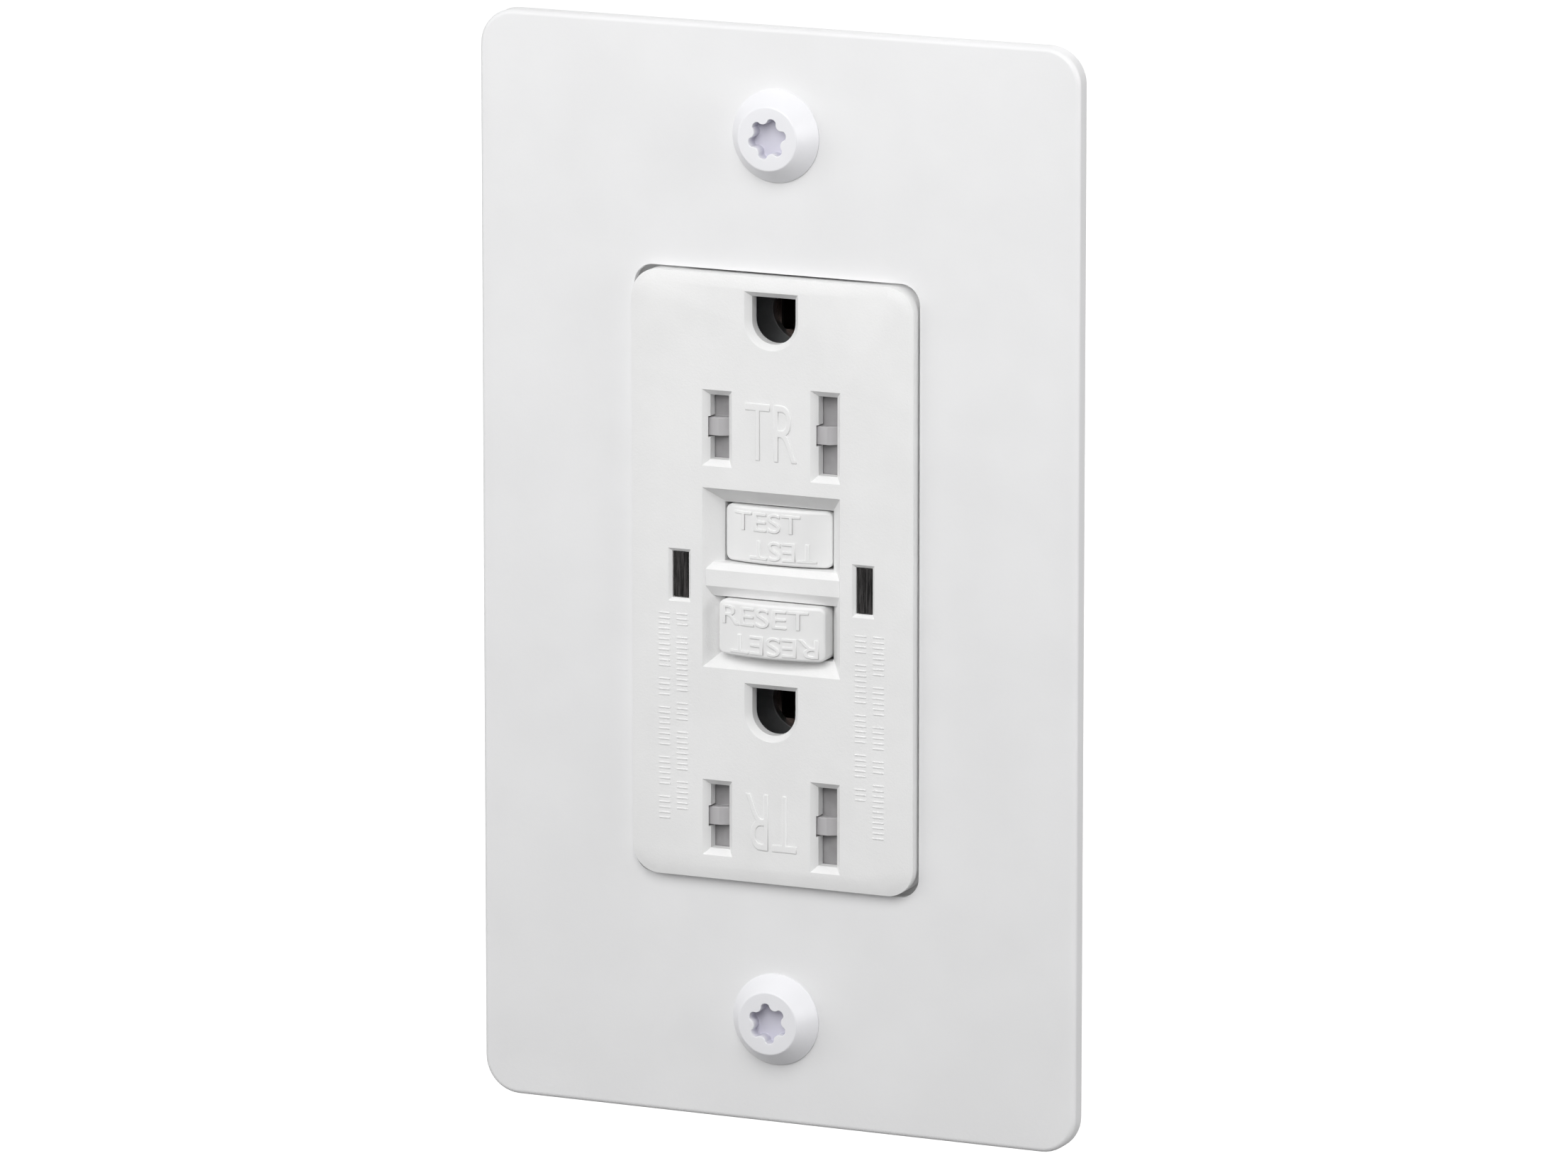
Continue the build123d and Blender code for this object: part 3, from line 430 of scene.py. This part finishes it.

# Painted shade: the plate screws' deep sockets darkened to a lavender grey, more with depth.
recolour(FINISHES["screw_coat"], socket_painted_shade, (0.66, 0.65, 0.73))
# Painted shade: brass near the middle, inside the deep ground holes, darkened nearly to black.
recolour(FINISHES["brass_part"], ground_hole_painted_shade, (0.07, 0.052, 0.045))
# Painted light: the shutter noses lightened towards the face.
recolour(FINISHES["shutter_plastic"], nose_painted_light, (0.52, 0.51, 0.52))

for name, node in NODES.items():
    node.data.materials.clear()
    node.data.materials.append(FINISHES[SLOT_OF[name]])


# ---- soft edges on the CAD pieces ----------------------------------------------------------

def new_piece(name, mesh, body, slot):
    """A piece that moves with a body and takes a slot's finish."""
    piece = bpy.data.objects.new(name, mesh)
    bpy.context.scene.collection.objects.link(piece)
    mesh.materials.clear()
    mesh.materials.append(FINISHES[slot])
    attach(piece, body)
    return piece


def baked_mesh(draft):
    """The final mesh of a draft object, which is then thrown away."""
    bpy.context.scene.collection.objects.link(draft)
    depsgraph = bpy.context.evaluated_depsgraph_get()
    mesh = bpy.data.meshes.new_from_object(draft.evaluated_get(depsgraph))
    bpy.data.objects.remove(draft)
    return mesh


def rounded_mesh(node, width, merge):
    """A copy of a CAD node's mesh, its flat faces merged and its sharp edges rounded."""
    flat, sharp = radians(0.4), radians(30)
    shell = bmesh.new()
    shell.from_mesh(NODES[node].data)
    bmesh.ops.remove_doubles(shell, verts=shell.verts, dist=1e-6)
    if merge == "whole faces":
        bmesh.ops.dissolve_limit(shell, angle_limit=flat, verts=shell.verts,
                                 edges=shell.edges, use_dissolve_boundaries=False)
    else:
        bmesh.ops.join_triangles(shell, faces=shell.faces, angle_face_threshold=flat,
                                 angle_shape_threshold=pi)
    mesh = bpy.data.meshes.new("draft")
    shell.to_mesh(mesh)
    shell.free()
    for attribute in [a for a in mesh.attributes if "normal" in a.name]:
        mesh.attributes.remove(attribute)
    mesh.shade_smooth()
    draft = bpy.data.objects.new("draft", mesh)
    bevel = draft.modifiers.new("rounding", "BEVEL")
    bevel.width, bevel.segments, bevel.miter_outer = width, 2, "MITER_ARC"
    bevel.limit_method, bevel.angle_limit = "ANGLE", sharp
    bevel.harden_normals = True
    rounded = baked_mesh(draft)
    rounded.name = node + "_rounded"
    return rounded


def is_folded(mesh):
    """True if some face with a hole in it has come out folded over itself."""
    mesh.calc_loop_triangles()
    faces = sum(face.area for face in mesh.polygons)
    return sum(triangle.area for triangle in mesh.loop_triangles) > 1.00002 * faces


def soften(node, width):
    """Stands a copy of a CAD node in its place, with every sharp edge rounded to this width."""
    mesh = rounded_mesh(node, width, "whole faces")
    if is_folded(mesh):
        mesh = rounded_mesh(node, width, "four-sided faces")
    piece = new_piece(node + "_rounded", mesh, BODY_OF[node], SLOT_OF[node])
    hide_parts(node)


ROUNDING = {
    "wall_plate": 0.12, "plate_screws": 0.14, "front_cover": 0.11, "rear_housing": 0.22,
    "mounting_strap": 0.12, "mounting_screws": 0.12, "screw_retainers": 0.12,
    "housing_screws": 0.12, "ground_screw": 0.12, "ground_clamp": 0.1,
    "upper_shutter": 0.1, "lower_shutter": 0.1, "light_pipes": 0.06,
}
for pole in ("hot", "neutral"):
    for end in ("line", "load"):
        ROUNDING[f"{end}_{pole}_terminal"] = 0.12
        ROUNDING[f"{end}_{pole}_clamp"] = 0.12
        ROUNDING[f"{end}_{pole}_screw"] = 0.12

for node, width in ROUNDING.items():
    soften(node, width * MM)


# ---- springs -------------------------------------------------------------------------------

def press_spring(node, axis, fixed_end, joint):
    """Stands a copy of a spring in its place, moving with its body, where the joint closes on it.
    """
    low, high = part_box(node)
    moving_end = max((low[axis], high[axis]), key=lambda end: abs(end - fixed_end))
    closing = (fixed_end - moving_end) * joint["axis"][axis]
    if closing <= 0:
        return
    mesh = NODES[node].data.copy()
    piece = new_piece(node + "_coil", mesh, BODY_OF[node], SLOT_OF[node])
    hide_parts(node)
    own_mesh(piece)


for joint in frame["record"]["behaviour"]["joints"]:
    for spring in joint.get("deforming_nodes", []):
        letter = spring["mode"][-1]
        press_spring(spring["node"], "xyz".index(letter), spring[f"fixed_end_{letter}_m"], joint)


# ---- raised marks on the face and the keys -------------------------------------------------

def word_outline(word, weight):
    """A flat mesh of block letters, one unit tall or so, from the built-in typeface."""
    curve = bpy.data.curves.new(word, "FONT")
    curve.body, curve.offset = word, weight
    curve.extrude, curve.bevel_depth = 0.03, 0.02
    curve.resolution_u = 6
    return baked_mesh(bpy.data.objects.new(word, curve))


def raise_word(name, word, body, slot, x_span, z_span, surface, relief, weight, inverted=False):
    """Block letters that fill a space on a surface, where surface gives its depth at any x."""
    mesh = word_outline(word, weight)
    low = [min(v.co[axis] for v in mesh.vertices) for axis in range(3)]
    size = [max(v.co[axis] for v in mesh.vertices) - low[axis] for axis in range(3)]
    for vertex in mesh.vertices:
        across, up, out = [(vertex.co[axis] - low[axis]) / size[axis] for axis in range(3)]
        if inverted:
            across, up = 1 - across, 1 - up
        x = x_span[0] + across * (x_span[1] - x_span[0])
        z = z_span[0] + up * (z_span[1] - z_span[0])
        vertex.co = (x, surface(x) + relief * (1 - 2 * out), z)
    mesh.flip_normals()
    new_piece(name, mesh, body, slot)


def crown_of(node):
    """The depth of a key's crowned front at any x, from the key's own box."""
    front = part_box(node)[0].y
    radius = (KEY_HALF_WIDTH ** 2 + KEY_CROWN ** 2) / (2 * KEY_CROWN)
    return lambda x: front + radius - sqrt(radius ** 2 - x ** 2)


def letter_key(node, word, upright, inverted):
    """A row of letters the right way up, and a row for an outlet mounted the other way up."""
    low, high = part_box(node)
    for label, span, rise, turned in (("upright", upright, 1.5 * MM, False),
                                      ("turned", inverted, -1.55 * MM, True)):
        x_span = [(2 * share - 1) * KEY_HALF_WIDTH for share in span]
        foot = (low.z + high.z) / 2 + rise - LETTER_HEIGHT / 2
        raise_word(f"{node}_word_{label}", word, BODY_OF[node], "key_plastic", x_span,
                   (foot, foot + LETTER_HEIGHT), crown_of(node), LETTER_RELIEF, LETTER_WEIGHT,
                   turned)


letter_key("test_button", "TEST", (0.1, 0.73), (0.255, 0.875))
letter_key("reset_button", "RESET", (0.045, 0.865), (0.13, 0.95))

FACE_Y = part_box("front_cover")[0].y
for level, z in MARK_Z.items():
    raise_word(f"{level}_shutter_mark", "TR", "device", "face_plastic",
               (-MARK_HALF_WIDTH, MARK_HALF_WIDTH), (z - MARK_HALF_HEIGHT, z + MARK_HALF_HEIGHT),
               lambda x: FACE_Y, MARK_RELIEF, MARK_WEIGHT, level == "lower")


def raise_rungs(name, x, top, foot, groups):
    """A column of fine raised rungs in uneven groups, in place of printed lines of words."""
    across, pitch, relief = 1.35 * MM, 0.58 * MM, 0.08 * MM
    rung_size = Matrix.Diagonal((across, 2 * relief, 0.3 * pitch, 1))
    shell = bmesh.new()
    z, row = top, 0
    while z - groups[row % len(groups)] * pitch > foot:
        for rung in range(groups[row % len(groups)]):
            place = Matrix.Translation((x, FACE_Y, z - (rung + 0.5) * pitch))
            bmesh.ops.create_cube(shell, size=1, matrix=place @ rung_size)
        z, row = z - (groups[row % len(groups)] + 1.5) * pitch, row + 1
    bmesh.ops.bevel(shell, geom=shell.edges[:], offset=relief * 0.6, segments=2, affect="EDGES")
    mesh = bpy.data.meshes.new(name)
    shell.to_mesh(mesh)
    shell.free()
    new_piece(name, mesh, "device", "face_plastic")


RUNG_GROUPS = [3, 11, 4, 8, 6, 5]
for side, label, offset, top in ((-1, "left", 0, -4.0), (1, "right", 2, -4.6)):
    for column, x in enumerate((10.5, 12.6)):
        turned = RUNG_GROUPS[offset + column:] + RUNG_GROUPS[:offset + column]
        raise_rungs(f"{label}_rungs_{column + 1}", side * x * MM, top * MM, -27.5 * MM, turned)


# ---- windings ------------------------------------------------------------------------------

def wind(name, points, wire):
    """A continuous winding that follows these points."""
    curve = bpy.data.curves.new(name, "CURVE")
    curve.dimensions = "3D"
    curve.bevel_depth, curve.bevel_resolution = wire, 1
    line = curve.splines.new("POLY")
    line.points.add(len(points) - 1)
    for point, place in zip(line.points, points):
        point.co = (*place, 1)
    mesh = baked_mesh(bpy.data.objects.new(name, curve))
    mesh.shade_smooth()
    new_piece(name, mesh, "device", "copper_winding")


def wind_ring(node, turns):
    """Wire wound round and round through a ring transformer's core, with a small gap left."""
    low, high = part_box(node)
    centre = (low + high) / 2
    outer, inner = (high.x - low.x) / 2, RING_INNER_RADIUS
    middle, half_wide, half_deep = (outer + inner) / 2, (outer - inner) / 2, (high.y - low.y) / 2
    steps, squareness, share_wound = 20, 0.35, 0.97
    points = []
    for step in range(turns * steps):
        round_ring = 2 * pi * step / (turns * steps) * share_wound
        round_core = 2 * pi * step / steps
        waves = (half_wide, cos(round_core)), (half_deep, sin(round_core))
        wide, deep = [half * abs(wave) ** squareness * (1 if wave > 0 else -1)
                      for half, wave in waves]
        reach = middle + wide
        points.append((centre.x + reach * cos(round_ring), centre.y + deep,
                       centre.z + reach * sin(round_ring)))
    wind(f"{node}_winding", points, RING_WIRE)


def wind_coil(node, pitch, wire):
    """One neat layer of wire along the solenoid's coil."""
    low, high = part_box(node)
    centre, radius = (low + high) / 2, (high.x - low.x) / 2
    steps = 24
    count = int((high.z - low.z - 2 * wire) / pitch) * steps
    points = [(centre.x + radius * cos(2 * pi * n / steps),
               centre.y + radius * sin(2 * pi * n / steps),
               low.z + wire + pitch * n / steps) for n in range(count)]
    wind(f"{node}_winding", points, wire)


for ring in ("sense_transformer", "neutral_transformer"):
    wind_ring(ring, 90)
wind_coil("solenoid_coil", 0.22 * MM, COIL_WIRE)


# ---- studio --------------------------------------------------------------------------------

def make_floor():
    """A plain pale floor well below the outlet, bright enough to read as white."""
    bpy.ops.mesh.primitive_plane_add(size=FLOOR_SIZE, location=(0, 0, FLOOR_Z))
    floor = bpy.context.object
    floor.name = "studio_floor"
    material, tree, shader = start_material("pale_floor", Roughness=0.9)
    skin = place_group(tree, FINE_GRAIN, Grain=0.004, Cloud=0.3)
    tree.links.new(blend_colours(tree, skin["Clouds"], (0.5, 0.5, 0.5, 1), (0.54, 0.54, 0.54, 1)),
                   shader.inputs["Base Color"])
    shader.inputs["Emission Color"].default_value = WHITE
    tree.links.new(put(tree, "LightPath").outputs["Is Camera Ray"],
                   shader.inputs["Emission Strength"])
    floor.data.materials.append(material)


def soft_light(name, azimuth, elevation, distance, size, watts):
    """A large square lamp aimed at the outlet."""
    data = bpy.data.lights.new(name, "AREA")
    data.shape, data.size, data.energy = "SQUARE", size, watts
    lamp = bpy.data.objects.new(name, data)
    bpy.context.scene.collection.objects.link(lamp)
    back = toward(azimuth, elevation)
    lamp.matrix_world = Matrix.Translation(back * distance) @ look_along(back).to_4x4()


def make_studio():
    make_floor()
    soft_light("front_softbox", 10, 37, 0.53, 0.38, 1.95)
    soft_light("right_softbox", 90, 14, 0.8, 0.5, 2.9)
    soft_light("left_softbox", -50, 16, 0.8, 0.6, 2.15)
    soft_light("back_softbox", 190, 35, 1.3, 0.9, 5.0)
    world = bpy.data.worlds.new("studio_world")
    bpy.context.scene.world = world
    world.use_nodes = True
    background = world.node_tree.nodes["Background"]
    background.inputs["Color"].default_value = WHITE
    seen = put(world.node_tree, "LightPath").outputs["Is Camera Ray"]
    world.node_tree.links.new(spread(world.node_tree, seen, 0.25, 1.0),
                              background.inputs["Strength"])
    bpy.context.scene.view_settings.view_transform = "Standard"


make_studio()
